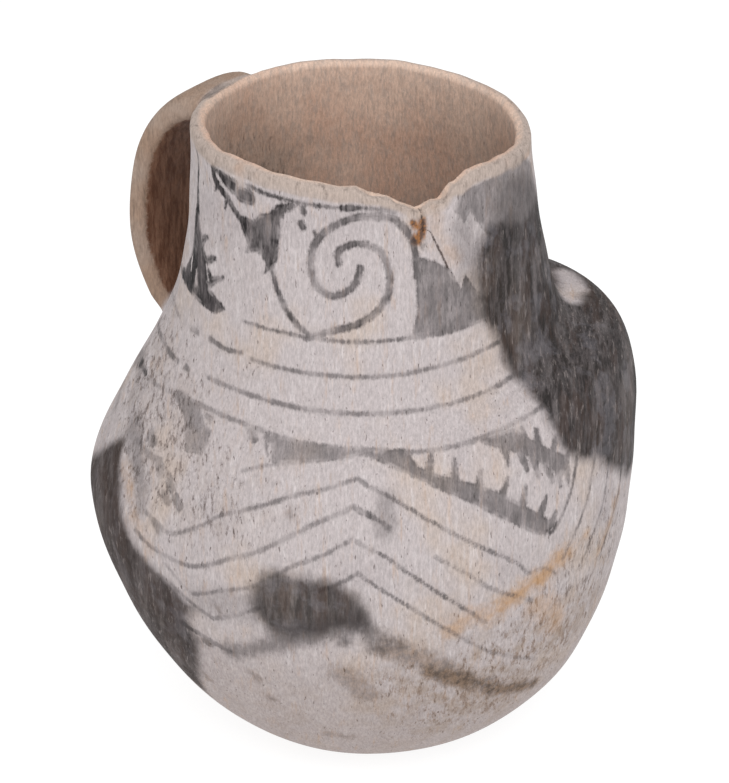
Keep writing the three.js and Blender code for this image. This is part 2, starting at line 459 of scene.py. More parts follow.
def handle_path(t):
    """Middle line of the strap in the XZ plane, and its direction."""
    size = sizes_toward(HANDLE_DIRECTION)
    top_height = size["rim_height"] - HANDLE_TOP_DROP - HANDLE_THICKNESS / 2
    foot_height = NECK_FOOT - HANDLE_FOOT_DROP
    start = size["rim"] - LIP / 2
    end = float(SURFACE.radius_at(np.array([HANDLE_DIRECTION]), np.array([foot_height]))[0]) - WALL
    reach = NECK_RADIUS + HANDLE_GAP + HANDLE_THICKNESS / 2
    pull = (8 * reach - start - end) / 6
    points = [
        (-start, top_height),
        (HANDLE_SAG - pull, top_height + HANDLE_LIFT),
        (-HANDLE_SAG - pull, foot_height + HANDLE_FALL),
        (-end, foot_height),
    ]
    ahead = bezier(points, min(t + 0.001, 1.0))
    behind = bezier(points, max(t - 0.001, 0.0))
    along = np.array([ahead[0] - behind[0], 0.0, ahead[1] - behind[1]])
    centre = bezier(points, t)
    return np.array([centre[0], 0.0, centre[1]]), along / np.linalg.norm(along)


def strap_ring(centre, along, share):
    across = np.array([0.0, 1.0, 0.0])
    out = np.cross(along, across)
    turn = np.arange(STRAP_SIDES) / STRAP_SIDES * 2 * np.pi
    flare = HANDLE_FLARE * max(2 * share - 1, 0) ** 6 - HANDLE_TOP_TAPER * max(1 - 2 * share, 0) ** 3
    wobble = 0.5 * math.sin(9 * share + 1) + 0.3 * math.sin(21 * share)
    cos, sin = np.cos(turn), np.sin(turn)
    side = np.sign(cos) * np.abs(cos) ** STRAP_SQUARENESS * (HANDLE_WIDTH + flare + wobble - 0.8) / 2
    face = np.sign(sin) * np.abs(sin) ** STRAP_SQUARENESS * (HANDLE_THICKNESS + 0.3 * wobble - 0.2) / 2
    return centre + side[:, None] * across + face[:, None] * out


def make_handle():
    rings = []
    for step in range(STRAP_STEPS + 1):
        share = step / STRAP_STEPS
        centre, along = handle_path(share)
        ring = strap_ring(centre, along, share)
        if step == 0:
            rings.append(ring - HANDLE_ROOT * along)
        rings.append(ring)
        if step == STRAP_STEPS:
            rings.append(ring + HANDLE_ROOT * along)
    return mesh_from_rings("strap", rings)


def combine(thing, other, operation):
    """Joins or cuts one closed mesh by another and removes the other."""
    change = thing.modifiers.new(operation, "BOOLEAN")
    change.operation = operation
    change.solver = "EXACT"
    change.object = other
    bpy.context.view_layer.update()
    ready = thing.evaluated_get(bpy.context.evaluated_depsgraph_get())
    thing.data = bpy.data.meshes.new_from_object(ready)
    thing.modifiers.clear()
    bpy.data.objects.remove(other)
    return thing


def read_points(mesh):
    flat = np.empty(len(mesh.vertices) * 3)
    mesh.vertices.foreach_get("co", flat)
    return flat.reshape(-1, 3) / MM


def blend_joint(mesh):
    """Smooths the clay where the strap was pressed on, so it flows into the wall."""
    points = read_points(mesh)
    edges = np.empty(len(mesh.edges) * 2, dtype=int)
    mesh.edges.foreach_get("vertices", edges)
    edges = edges.reshape(-1, 2)
    azimuth, radius, height = polar(points)
    off = radius - SURFACE.radius_at(azimuth, height)
    near = (np.abs(away_from(azimuth, HANDLE_DIRECTION)) < JOINT_HALF_TURN) & (height > JOINT_FROM)
    inner, outer = JOINT_BAND
    on_wall = near & (off > inner) & (off < outer)
    on_strap = near & (off >= outer)
    first, second = edges[:, 0], edges[:, 1]
    crossing = edges[on_wall[first] & on_strap[second] | on_strap[first] & on_wall[second]]
    seam = points[np.unique(crossing)]
    chosen = np.flatnonzero(near & (off > inner))
    gap = np.full(len(chosen), 1e9)
    for start in range(0, len(seam), SEAM_PART):
        part = seam[start:start + SEAM_PART]
        apart = np.linalg.norm(points[chosen][:, None] - part[None], axis=-1)
        gap = np.minimum(gap, apart.min(axis=1))
    weight = np.zeros(len(points))
    weight[chosen] = np.clip(1 - gap / JOINT_REACH, 0, 1) * JOINT_PULL
    for _ in range(JOINT_ROUNDS):
        total = np.zeros_like(points)
        count = np.zeros(len(points))
        for a, b in ((0, 1), (1, 0)):
            np.add.at(total, edges[:, a], points[edges[:, b]])
            np.add.at(count, edges[:, a], 1)
        points += weight[:, None] * (total / count[:, None] - points)
    mesh.vertices.foreach_set("co", (points * MM).ravel())
    mesh.update()


# Painting, as distances over the surface

def smooth_path(points, pieces=8):
    """A soft curve through points of direction and height."""
    points = np.array(points, dtype=float)
    if len(points) < 3:
        t = np.linspace(0, 1, pieces + 1)[:, None]
        return points[0] * (1 - t) + points[-1] * t
    padded = np.vstack([2 * points[0] - points[1], points, 2 * points[-1] - points[-2]])
    t = np.arange(pieces)[:, None] / pieces
    path = []
    for a, b, c, d in zip(padded, padded[1:], padded[2:], padded[3:]):
        path.append(0.5 * (2 * b + (c - a) * t + (2 * a - 5 * b + 4 * c - d) * t ** 2
                           + (3 * b - a - 3 * c + d) * t ** 3))
    return np.vstack(path + [points[-1:]])


def straight_path(points, pieces=6):
    """Straight strokes between points of direction and height."""
    points = np.array(points, dtype=float)
    t = np.arange(pieces)[:, None] / pieces
    path = [a * (1 - t) + b * t for a, b in zip(points, points[1:])]
    return np.vstack(path + [points[-1:]])


def distance_to_path(places, path):
    """Distance of each place to a path in space, and how far along the path its nearest point is."""
    start, end = path[:-1], path[1:]
    run = end - start
    length = np.maximum((run ** 2).sum(axis=-1), 1e-9)
    best = np.full(len(places), 1e9)
    along = np.zeros(len(places))
    for i in range(len(start)):
        offset = places - start[i]
        share = np.clip(offset @ run[i] / length[i], 0, 1)
        apart = ((offset - share[:, None] * run[i]) ** 2).sum(axis=-1)
        closer = apart < best
        best = np.where(closer, apart, best)
        along = np.where(closer, (i + share) / len(start), along)
    return np.sqrt(best), along


class Layer:
    """A field over the pot: how far inside the drawn figures each point lies, in millimetres."""

    def __init__(self, azimuth, height, drawable, reach):
        self.azimuth, self.height = azimuth, height
        self.places = SURFACE.place(azimuth, height)
        self.drawable = drawable
        self.reach = reach
        self.depth = np.full(len(azimuth), -reach)
        self.dark = np.zeros(len(azimuth))

    def near(self, outline):
        """The points that an outline can touch, their directions, how far off and how far along."""
        low, high = outline.min(axis=0), outline.max(axis=0)
        middle = (low[0] + high[0]) / 2
        azimuth = away_from(self.azimuth, middle) + middle
        margin = self.reach + 2
        turn = math.degrees(margin / RIM_RADIUS)
        chosen = self.drawable & (azimuth > low[0] - turn) & (azimuth < high[0] + turn)
        chosen &= (self.height > low[1] - margin) & (self.height < high[1] + margin)
        index = np.flatnonzero(chosen)
        path = SURFACE.place(outline[:, 0], outline[:, 1])
        return (index, azimuth[index]) + distance_to_path(self.places[index], path)

    def add(self, index, depth, dark):
        """Keeps, for each point, the figure that it lies deepest in."""
        better = depth > self.depth[index]
        self.depth[index] = np.where(better, depth, self.depth[index])
        self.dark[index] = np.where(better, dark, self.dark[index])

    def stroke(self, points, width, dark=1.0, end_width=None):
        """A brush line through some points, of an even width or one that changes to its end."""
        index, _, away, along = self.near(smooth_path(points))
        last = width if end_width is None else end_width
        self.add(index, (width + (last - width) * along) / 2 - away, dark)

    def barbs(self, pairs, width, dark, end_width):
        """Short tapering strokes, each from its root to its tip."""
        for root, tip in pairs:
            self.stroke([root, tip], width, dark, end_width)

    def dots(self, places, dark, drag):
        """Dots of a size each, dragged a little by the brush."""
        for place, size in places:
            self.stroke([place, (place[0] + drag[0], place[1] - drag[1])], size, dark)

    def fill(self, points, dark=1.0):
        """The area inside an outline."""
        line = straight_path(list(points) + [points[0]])
        index, azimuth, away, _ = self.near(line)
        height = self.height[index]
        inside = np.zeros(len(index), dtype=bool)
        for (a0, z0), (a1, z1) in zip(line, line[1:]):
            if z0 == z1:
                continue
            crosses = (z0 > height) != (z1 > height)
            inside ^= crosses & (azimuth < a0 + (height - z0) * (a1 - a0) / (z1 - z0))
        self.add(index, np.where(inside, away, -away), dark)

    def scrape(self, points, width):
        """Leaves a bare line through what is painted."""
        index, _, away, _ = self.near(straight_path(points))
        self.depth[index] = np.minimum(self.depth[index], away - width / 2)

    def value(self):
        """How deep in its figure each point lies, below 0 where it is outside."""
        return np.clip(self.depth, -self.reach, self.reach)


def paint_neck(ink):
    """The spiral in its frame, and the barbed figures to each side of it."""
    ink.stroke([(-64, 151), (-64, 154), (-60, 156), (-55, 156), (-50, 153.5), (-47.5, 147), (-50, 140.5),
        (-57, 136), (-66, 133.5), (-73, 131.5)], 1.8, 0.95)
    ink.stroke([(-57, 150), (-59.5, 145), (-66, 142.5), (-71.5, 145.5), (-73, 151), (-71, 156.5),
        (-64, 161.5), (-55, 163.5), (-46.5, 162.5), (-41, 158), (-39, 152.5), (-39, 147)], 1.9, 0.9)
    ink.stroke([(-86, 149), (-85.5, 147), (-83.5, 142.5), (-80, 137.5), (-76.5, 134.5), (-73, 132.5)],
        1.4, 0.95)
    ink.fill([(-39.5, 153.5), (-39, 139), (-41, 132), (-12, 131.5), (-14, 137.5), (-18.5, 141),
        (-21.5, 145), (-23.5, 142), (-27.5, 147.5), (-32, 150), (-36.5, 151.5)], 0.8)
    ink.fill([(-39, 156), (-36.5, 153.5), (-35, 155)], 0.6)
    ink.fill([(-22.5, 166.5), (-24.5, 162), (-21, 158.5), (-18, 160.5), (-11, 153), (11, 144), (36, 136),
        (31, 150), (27, 161), (15, 167.5), (-5, 167)], 0.72)
    ink.stroke([(-97, 167), (-84, 166), (-71, 165.6), (-56, 165.6), (-46, 165)], 1.0, 0.95)
    ink.stroke([(-63, 165.6), (-59.5, 165.6)], 1.8, 1.0)
    ink.stroke([(-50, 165.3), (-46, 164.8)], 1.8, 0.9)
    ink.fill([(-79.5, 166), (-83.5, 164), (-80, 163), (-78, 165)], 0.9)
    ink.dots([((-76, 164.5), 1.6), ((-76.5, 160.5), 1.8), ((-72, 158.7), 0.9), ((-51.5, 164), 1.7)], 0.9,
        (0.5, 1))
    paint_neck_left(ink)


def paint_neck_left(ink):
    """The barbed wedge by the handle and the torn figure between it and the spiral."""
    ink.stroke([(-131, 169.5), (-126, 166), (-126.5, 160), (-126, 153)], 1.1, 1.0)
    ink.fill([(-125.5, 158), (-127, 150), (-127, 139), (-131, 134), (-146, 130), (-125, 131),
        (-106, 130.5), (-102, 133), (-106, 134.5), (-111, 135.5), (-111, 139), (-115, 141.5),
        (-118, 145), (-122.5, 150)], 1.3)
    ink.barbs([((-119, 146), (-116, 148)), ((-115, 142), (-110.5, 144)),
        ((-111, 137.5), (-105.5, 140.3))], 2.6, 1.3, 1.2)
    scratches = [[(-126, 139), (-125, 136)], [(-121, 137.5), (-119.5, 134.5)],
        [(-115, 141), (-112.5, 137.5)]]
    for line in scratches:
        ink.scrape(line, 0.7)
    ink.stroke([(-128.5, 169), (-120, 169)], 1.2, 0.9)
    ink.fill([(-113.5, 168), (-100.5, 167), (-101.5, 162.8), (-105.5, 163.6), (-111, 166)], 1.2)
    ink.stroke([(-114, 168), (-112.5, 164), (-107, 161.5), (-102, 159), (-99, 157)], 1.8, 1.2)
    ink.barbs([((-111.5, 164), (-113, 161.3)), ((-106, 161.5), (-107, 158.3))], 1.8, 1.2, 0.6)
    ink.stroke([(-99.5, 164), (-96, 164)], 4.2, 1.2)
    ink.fill([(-101, 158.5), (-94, 158.5), (-91.5, 160.5), (-88, 161.5), (-85, 164), (-79, 166),
        (-83.5, 160), (-84, 150), (-86.5, 146.5), (-88.5, 145.5), (-88, 148), (-91, 151), (-96, 149.5),
        (-95.5, 152), (-98, 154.5)], 1.1)


def paint_bands(ink):
    """Four thin bands round the foot of the neck and the shoulder, broken where the brush lifted."""
    ink.stroke([(-94, 132), (-78, 131.8), (-60, 131.3), (-42, 131.8)], 0.9, 0.8)
    ink.stroke([(-42, 131.8), (-28, 131.8), (-15, 132.2)], 1.2, 0.8)
    ink.stroke([(-149, 120), (-138, 121.8), (-126, 122.3)], 1.1, 0.75)
    ink.stroke([(-116.5, 123), (-113, 123.5)], 1.5, 0.6)
    ink.stroke([(-106.5, 124), (-100, 123.4), (-94, 124)], 1.5, 0.75, 1.1)
    ink.stroke([(-90, 123.2), (-75, 123), (-50, 123), (-32, 124), (-11, 125.2)], 1.1, 0.7)
    ink.stroke([(-147, 112), (-132, 113.6), (-125.5, 113.7)], 1.3, 0.95)
    ink.stroke([(-125.5, 113.7), (-118, 114)], 1.8, 1.15, 1.3)
    ink.stroke([(-113.5, 114.4), (-112, 114.5)], 1.5, 0.8)
    ink.stroke([(-103, 115.3), (-92, 115.2), (-75, 114.9), (-43, 115), (-19, 116.2), (-10, 117)], 1.2,
        0.72)
    ink.stroke([(-138, 102.5), (-121, 106), (-108, 108.6), (-92, 109), (-74, 108.2)], 1.2, 0.65)
    ink.stroke([(-74, 108.2), (-58, 108), (-40, 108), (-28, 109.3), (-9, 112.3)], 1.2, 0.65)
    ink.fill([(-79.5, 108.5), (-70, 108.5), (-50, 108.7), (-55, 107.3), (-65, 105), (-72, 103.8),
        (-77, 102.5), (-77.8, 105)], 0.68)
    ink.stroke([(-84, 99.5), (-77.5, 102.3), (-70, 104.3)], 0.9, 0.45)
    ink.stroke([(-80.5, 107.5), (-78.5, 104)], 0.8, 0.6)
    for rise in (131.8, 123.4, 115.2, 108.5):
        ink.stroke([(14, rise), (60, rise - 1), (110, rise), (150, rise - 1), (176, rise - 2)], 1.3, 0.7)


def paint_barbed_bands(ink):
    """Two slanting bands right of the middle, with barbs that reach for each other."""
    ink.fill([(-58, 108), (-49.5, 105.3), (-43, 102.3), (-33.5, 96.3), (-26.5, 90.3), (-19, 83.5),
        (-15.5, 81.5), (-13, 84), (-17.5, 88.5), (-22.5, 93.5), (-27, 97.5), (-32, 100.5), (-38, 103),
        (-43, 105), (-46, 108.5)], 0.82)
    ink.barbs([((-41.5, 103.5), (-40, 107.6)), ((-36, 102), (-35.2, 106)), ((-31, 99), (-30, 103)),
        ((-26, 95.5), (-24.3, 100)), ((-21.5, 92), (-20.2, 96.7)), ((-17, 88), (-15.3, 92.2)),
        ((-14.3, 84), (-12.8, 87))], 2.6, 0.82, 1.0)
    ink.stroke([(-15.5, 83), (-14, 81.6), (-12.7, 83.6)], 1.2, 1.0)
    ink.fill([(-29, 109), (-19.5, 110), (-15.5, 106), (-12.5, 103.5), (-9, 100.5), (-8.5, 95),
        (-11.5, 97), (-15.5, 100.5), (-18.5, 103.5), (-22.5, 105.8), (-26.5, 107.5)], 0.78)
    ink.barbs([((-18.3, 106), (-17.6, 109.6)), ((-15.5, 105), (-14.5, 108.6)),
        ((-12.5, 102.5), (-10.4, 106)), ((-9.5, 99), (-7.4, 101.8)), ((-23.5, 107), (-23.5, 103.2)),
        ((-20.2, 105), (-19.3, 100.4)), ((-17.5, 102.5), (-16.7, 97.8)), ((-14.5, 100), (-13.3, 95)),
        ((-11.8, 98), (-11.2, 93.2)), ((-9.2, 97), (-8.8, 93))], 2.4, 0.8, 1.0)


def paint_chevrons(ink):
    """Nested chevrons on the belly, each of a left and a right arm that meet at a peak."""
    ink.stroke([(-108, 81), (-101, 79.5), (-98, 79.5), (-91.5, 84), (-86, 89), (-77, 93.7), (-71, 97),
        (-64, 99.6), (-57, 102.5)], 1.1, 0.72)
    ink.stroke([(-57, 102.5), (-48.5, 98), (-41, 92.3), (-36, 88), (-29, 82), (-22.5, 76), (-20, 72.5),
        (-16, 72), (-12, 68.5)], 1.0, 0.75)
    ink.stroke([(-109, 75), (-103, 73.5), (-92, 73.5), (-82.5, 79.3), (-76, 83.5), (-70.5, 88),
        (-65, 92), (-57.5, 96.5)], 1.2, 0.65)
    ink.stroke([(-57.5, 96.5), (-52.5, 93.7), (-50, 91.5)], 1.4, 0.85)
    ink.stroke([(-41, 83.5), (-34.5, 77.5), (-29.5, 71.8), (-24, 67.5), (-18.5, 63.5)], 1.0, 0.7)
    ink.stroke([(-99, 70.5), (-93.5, 65.5), (-91, 65.5), (-84.5, 69.5), (-77.5, 73.3), (-69.5, 80.5),
        (-64, 84), (-57.5, 89)], 1.1, 0.6)
    ink.stroke([(-57.5, 89), (-52, 85.3), (-49, 82.5), (-41, 73.7), (-35.5, 68), (-29.5, 61)], 1.0, 0.78)
    ink.stroke([(-98, 65), (-90, 60), (-86, 60), (-75.5, 67.5)], 1.2, 0.55)
    ink.stroke([(-64, 74.5), (-60, 77), (-56.5, 80)], 1.1, 0.65)
    ink.stroke([(-56.5, 80), (-50, 73.5), (-45.5, 69), (-37, 60), (-27.5, 50.5), (-20.5, 45.5),
        (-12.5, 40.5)], 1.0, 0.7)
    ink.stroke([(-97, 53), (-92, 51.5), (-85.5, 49)], 1.8, 0.9)
    ink.stroke([(-91.5, 50.3), (-90.5, 49.5)], 3.0, 0.7)
    ends = [((-6, 99), (-13, 82)), ((0, 96), (-10, 72)), ((6, 93), (-2, 68)), ((13, 86), (6, 64))]
    for top, bottom in ends:
        middle = ((top[0] + bottom[0]) / 2 + 1.2, (top[1] + bottom[1]) / 2)
        ink.stroke([top, middle, bottom], 0.95, 0.8)


def paint_left(ink):
    """Worn strokes under the bands on the left, most of them rubbed away."""
    ink.fill([(-116, 107.5), (-111, 109.5), (-103, 109), (-99, 106), (-96, 105), (-95.5, 102),
        (-96, 99.5), (-101.5, 98), (-104, 102), (-106.5, 104.5), (-110, 106)], 0.85)
    ink.stroke([(-99, 107.5), (-97.5, 107)], 1.6, 0.7)
    ink.fill([(-139, 101.5), (-135, 103.5), (-127, 105), (-128, 98), (-122.5, 95.5), (-127, 93.5),
        (-134, 95)], 0.35)
    ink.stroke([(-141, 103), (-134, 104), (-130.5, 102.5), (-129.5, 99.5), (-128, 96)], 2.2, 1.7, 1.4)
    ink.stroke([(-116.5, 94.5), (-115, 96.3), (-112.5, 96), (-113.5, 94.5)], 1.3, 0.9)
    ink.stroke([(-120, 93), (-113, 92.5), (-109, 93), (-105.5, 92), (-103, 90.5)], 1.7, 0.75)
    ink.dots([((-85, 108), 2.2), ((-80, 108), 1.8), ((-116, 96.5), 2.6), ((-108.5, 92.5), 3.4),
        ((-103.5, 91), 2.8), ((-103.5, 87.5), 2.4), ((-99.5, 88), 2.6), ((-104, 80), 2.2)], 0.75,
        (2, 1.5))


def paint_back(ink):
    """Plainer chevrons and a spiral on the side that the photograph doesn't show."""
    for place in (75, 140):
        for drop in (0, 7, 14, 21):
            ink.stroke([(place - 34, 62 - drop), (place, 96 - drop)], 1.2, 0.7)
            ink.stroke([(place, 96 - drop), (place + 34, 62 - drop)], 1.2, 0.7)
    turns = np.linspace(0.4, 2.4 * 2 * math.pi, 40)
    coil = [(95 + math.degrees(t * math.cos(t) / RIM_RADIUS), 149 + t * math.sin(t)) for t in turns]
    ink.stroke(coil, 1.9, 0.85)


def draw_clouds(cloud):
    """Dark fire clouds from the kiln: one down the right, one at the left edge, one in front."""
    cloud.fill([(-9, 156), (-14, 152), (-17, 147), (-16.5, 137.5), (-14.5, 131.5), (-12, 127.5),
        (-10, 122), (-10, 115), (-11, 110), (-9, 103), (-5.5, 98), (0.5, 94.5), (11, 86), (19, 79),
        (32, 78), (50, 82), (66, 88), (76, 98), (78, 110), (70, 117), (56, 121), (44, 123), (42, 138),
        (36, 150), (22, 151), (8, 151)], 1.0)
    cloud.scrape([(43, 117.2), (52, 116.6), (61, 116)], 7.0)
    cloud.fill([(-125.5, 90.5), (-130, 87), (-135.5, 81.5), (-140.5, 76.5), (-150, 70), (-162, 62),
        (-165, 50), (-150, 38), (-130, 26), (-107, 20), (-97, 38), (-94, 48), (-95, 55), (-93, 60),
        (-98, 65), (-104, 68), (-111, 71.5), (-116, 77), (-119, 82), (-124, 86)], 1.0)
    cloud.fill([(-78, 68), (-77.5, 73), (-75.5, 77), (-72, 79), (-66, 78), (-60, 76.5), (-57, 73),
        (-54.5, 69), (-54, 63), (-57.5, 63.5), (-61, 63), (-66, 60.5), (-71, 59), (-75.5, 61)], 0.94)


def draw_haze(haze):
    """Thinner smoke by the fire clouds and on the handle side, and the smoked foot of the chevrons."""
    haze.stroke([(-22, 157), (-19.5, 151), (-19.5, 144)], 6.0, 0.35)
    haze.stroke([(2, 158), (14, 156), (28, 150)], 11.0, 0.5)
    haze.stroke([(-124, 94), (-118, 90.5), (-112, 86), (-109, 80)], 7.0, 0.45, 3.0)
    haze.stroke([(-150, 100), (-144, 103), (-139, 104)], 4.0, 0.5)
    haze.stroke([(-150, 92), (-142, 90)], 4.0, 0.35)
    haze.stroke([(-176, 169.5), (-162, 169.5)], 3.0, 0.55)
    haze.stroke([(-85.5, 48.9), (-81, 51), (-75, 55), (-67, 59.5), (-58, 62.5)], 4.6, 0.6)
    haze.stroke([(-73, 59), (-66, 61), (-60, 63.5)], 7.0, 0.6)
    haze.stroke([(-59.5, 63), (-59.5, 59.8)], 3.4, 0.75)
    haze.stroke([(-56.5, 66), (-53.5, 61.5), (-52.5, 57)], 4.4, 0.65)
    haze.stroke([(-53, 61.5), (-48, 57.5)], 3.5, 0.55, 2.5)
    haze.stroke([(-90, 63), (-83, 66.5), (-78.5, 65)], 9.0, 0.22)
    haze.stroke([(-50.5, 98), (-51, 91)], 5.0, 0.35)


def draw_stains(stain):
    """Yellow-brown water stains, low on the right, by the left fire cloud and beside the crack."""
    stain.stroke([(-37, 61), (-33, 64), (-29.5, 62.5), (-24, 65.5)], 6.5, 0.6)
    stain.stroke([(-26, 64.5), (-20.5, 68), (-16.5, 69.5), (-11, 72)], 7.5, 0.8)
    stain.stroke([(-11, 72), (-7.5, 73.5), (-3, 75)], 5.5, 0.7, 3.0)
    stain.stroke([(5, 65), (7.5, 69), (9.5, 74), (12, 79)], 3.0, 0.6)
    stain.stroke([(-17, 61), (-12, 57.5), (-9, 51)], 9.0, 0.4)
    stain.stroke([(-119.5, 86), (-113, 81), (-107.5, 76), (-104, 73)], 3.0, 0.5)
    stain.stroke([(-32, 161), (-30, 156), (-26, 150)], 5.0, 0.35)


def draw_browned(browned):
    """A brown band low on the belly, where the paint turned, and small brown spots."""
    browned.stroke([(-50.5, 57), (-46, 54), (-42, 51), (-37.5, 48)], 6.0, 0.6)
    browned.stroke([(-40, 48), (-33.5, 43), (-28, 38.5), (-21, 33.5), (-13, 30), (-8, 28.5)], 6.5, 0.9,
        4.0)
    browned.stroke([(-60, 48), (-57.5, 44), (-54, 40)], 6.0, 0.45)
    browned.stroke([(-65, 20.5), (-59, 20)], 2.5, 0.5)
    browned.dots([((-81.5, 43), 1.2), ((-80, 41.5), 1.2), ((-86.5, 63.5), 1.2), ((-91, 50), 1.2),
        ((-96.5, 34), 1.2), ((-70.5, 93.5), 1.2), ((-78.5, 34.5), 1.2)], 0.6, (0.6, 1.2))


def draw_cracks(crack):
    """A crack that runs from the chip down the neck and fades."""
    crack.stroke([(-37, 164), (-36.5, 161.5), (-36.3, 158.5)], 0.3, 1.0, 0.5)
    crack.stroke([(-36, 158.8), (-34, 158), (-32.5, 156), (-30.5, 152.5), (-28, 148)], 0.25, 1.0, 0.6)
    crack.stroke([(-28, 148), (-24.5, 144), (-20, 139.5), (-16.5, 135.5)], 0.25, 1.0, -0.35)


def draw_rust(rust):
    """Rust-brown stain at the head of the crack."""
    rust.stroke([(-36.7, 163), (-36.5, 160.5), (-37, 158), (-38.4, 156.4)], 1.0, 1.0, 2.2)
    rust.stroke([(-39.5, 161), (-38, 159.6)], 1.0)


# Fields of the finished mesh

def smoothstep(value, low, high):
    t = np.clip((value - low) / (high - low), 0, 1)
    return t * t * (3 - 2 * t)


class Skin:
    """Where each point of a mesh lies on the pot."""

    def __init__(self, mesh):
        self.azimuth, self.radius, self.height = polar(read_points(mesh))
        self.side_top = sizes_toward(self.azimuth)["rim_height"] - LIP_ROUNDING + lip_waver(self.azimuth)
        outer = SURFACE.radius_at(self.azimuth, np.minimum(self.height, self.side_top))
        self.off = self.radius - outer
        self.hollow = smoothstep(-self.off, *HOLLOW_BAND) * (self.height > FLOOR / 2)
        self.strap = smoothstep(self.off, *STRAP_BAND)

    def layer(self, reach, *figures):
        """A layer of painted figures over the outside."""
        drawable = (self.hollow < 0.9) & (self.strap < 0.9)
        made = Layer(self.azimuth, self.height, drawable, reach)
        for draw in figures:
            draw(made)
        return made


def painted(skin):
    return skin.layer(PAINT_REACH, paint_neck, paint_bands, paint_barbed_bands, paint_chevrons, paint_left,
                      paint_back)


def cut_finer_at_paint(mesh):
    """Cuts the skin finer where paint or the crack begins and ends, so thin lines stay even."""
    skin = Skin(mesh)
    depth = np.maximum(painted(skin).depth, skin.layer(PAINT_REACH, draw_cracks).depth)
    shape = bmesh.new()
    shape.from_mesh(mesh)
    count = len(shape.verts)
    edges = set()
    for face in shape.faces:
        depths = [depth[vert.index] for vert in face.verts]
        if max(depths) > -EDGE_OUTSIDE and min(depths) < EDGE_INSIDE:
            edges.update(face.edges)
    ordered = sorted(edges, key=lambda edge: edge.index)
    bmesh.ops.subdivide_edges(shape, edges=ordered, cuts=EDGE_CUTS, use_grid_fill=True)
    shape.to_mesh(mesh)
    shape.free()
    settle_new_points(mesh, count)


def settle_new_points(mesh, count):
    """Moves the points that came after the first ones from the flats onto the round surface."""
    points = read_points(mesh)
    azimuth, radius, height = polar(points)
    wanted = SURFACE.radius_at(azimuth, height) + wall_waver(azimuth, height)
    moved = (np.arange(len(points)) >= count) & (np.abs(wanted - radius) < SETTLE_WITHIN)
    scale = np.where(moved, wanted / np.maximum(radius, 1e-6), 1.0)
    points[:, :2] *= scale[:, None]
    mesh.vertices.foreach_set("co", (points * MM).ravel())
    mesh.update()


def wear_at(skin):
    """Where the slip is most worn."""
    return np.clip(spots(skin.azimuth, skin.height, skin.radius, [
        (-112, 96, 24, 1.0), (-140, 110, 18, 0.7), (-50, 46, 14, 0.5), (-84, 88, 14, 0.7),
        (-10, 52, 24, 1.0), (6, 66, 16, 0.8), (-108, 150, 14, 0.4), (60, 70, 24, 0.7),
        (140, 90, 24, 0.7), (-30, 34, 22, 0.8), (-75, 28, 18, 0.35)]), 0, 1)


def inside_shade_at(skin):
    """Darker places on the bare inside: painted shade at its left and right sides, where less light falls
    than on the far wall.
    """
    return np.clip(spots(skin.azimuth, skin.height, skin.radius, [
        (170, 142, 13, 0.9), (-165, 150, 22, 0.7), (-170, 125, 20, 0.6), (-60, 120, 40, 0.5),
        (75, 148, 22, 0.5), (30, 125, 25, 0.5)]), 0, 1)


def describe(mesh):
    """Writes what the material needs to know about each point of the skin."""
    skin = Skin(mesh)
    chip_top = sizes_toward(CHIP_DIRECTION)["rim_height"] - chip_depth(skin.azimuth)
    broken = smoothstep(chip_depth(skin.azimuth), *BROKEN_BAND)
    broken = broken * smoothstep(skin.height, chip_top - CHIP_BAND[0], chip_top - CHIP_BAND[1])
    lip = smoothstep(skin.height, skin.side_top - LIP_BAND[0], skin.side_top - LIP_BAND[1])
    normals = np.empty(len(skin.height) * 3)
    mesh.vertices.foreach_get("normal", normals)
    normals = normals.reshape(-1, 3)
    turn = np.radians(skin.azimuth)
    outward = normals[:, 0] * np.cos(turn) + normals[:, 1] * np.sin(turn)
    inward = smoothstep(-outward, *INWARD_BAND)
    figures = {"cloud": draw_clouds, "haze": draw_haze, "stain": draw_stains, "browned": draw_browned}
    layers = {"paint": painted(skin)}
    for name, draw in figures.items():
        layers[name] = skin.layer(REACHES[name], draw)
    fields = {
        "crack": skin.layer(PAINT_REACH, draw_cracks).value(),
        "rust": skin.layer(REACHES["rust"], draw_rust).value(),
        "hollow": skin.hollow,
        "strap": skin.strap,
        "lip": np.maximum(lip, broken) * (1 - skin.strap),
        # The strap's inner face, which faces the neck, marked for its painted shade.
        "strap_inner_shade": skin.strap * inward * (1 - smoothstep(np.abs(normals[:, 1]), *SIDEWAYS_BAND)),
        "worn": wear_at(skin),
        # How near the foot each point lies; the slip darkens there, partly as painted shade.
        "low": 1 - smoothstep(skin.height, *LOW_BAND),
        "left_side": 1 - smoothstep(skin.azimuth, *LEFT_BAND),
        # Painted shade on the bare inside, darkest at its left and right sides.
        "inside_shade": skin.hollow * inside_shade_at(skin),
    }
    for name, layer in layers.items():
        fields[name] = layer.value()
        fields[name + "_dark"] = layer.dark
    for name, values in fields.items():
        attribute = mesh.attributes.new(name, "FLOAT", "POINT")
        attribute.data.foreach_set("value", values.astype(np.float32))


# Material

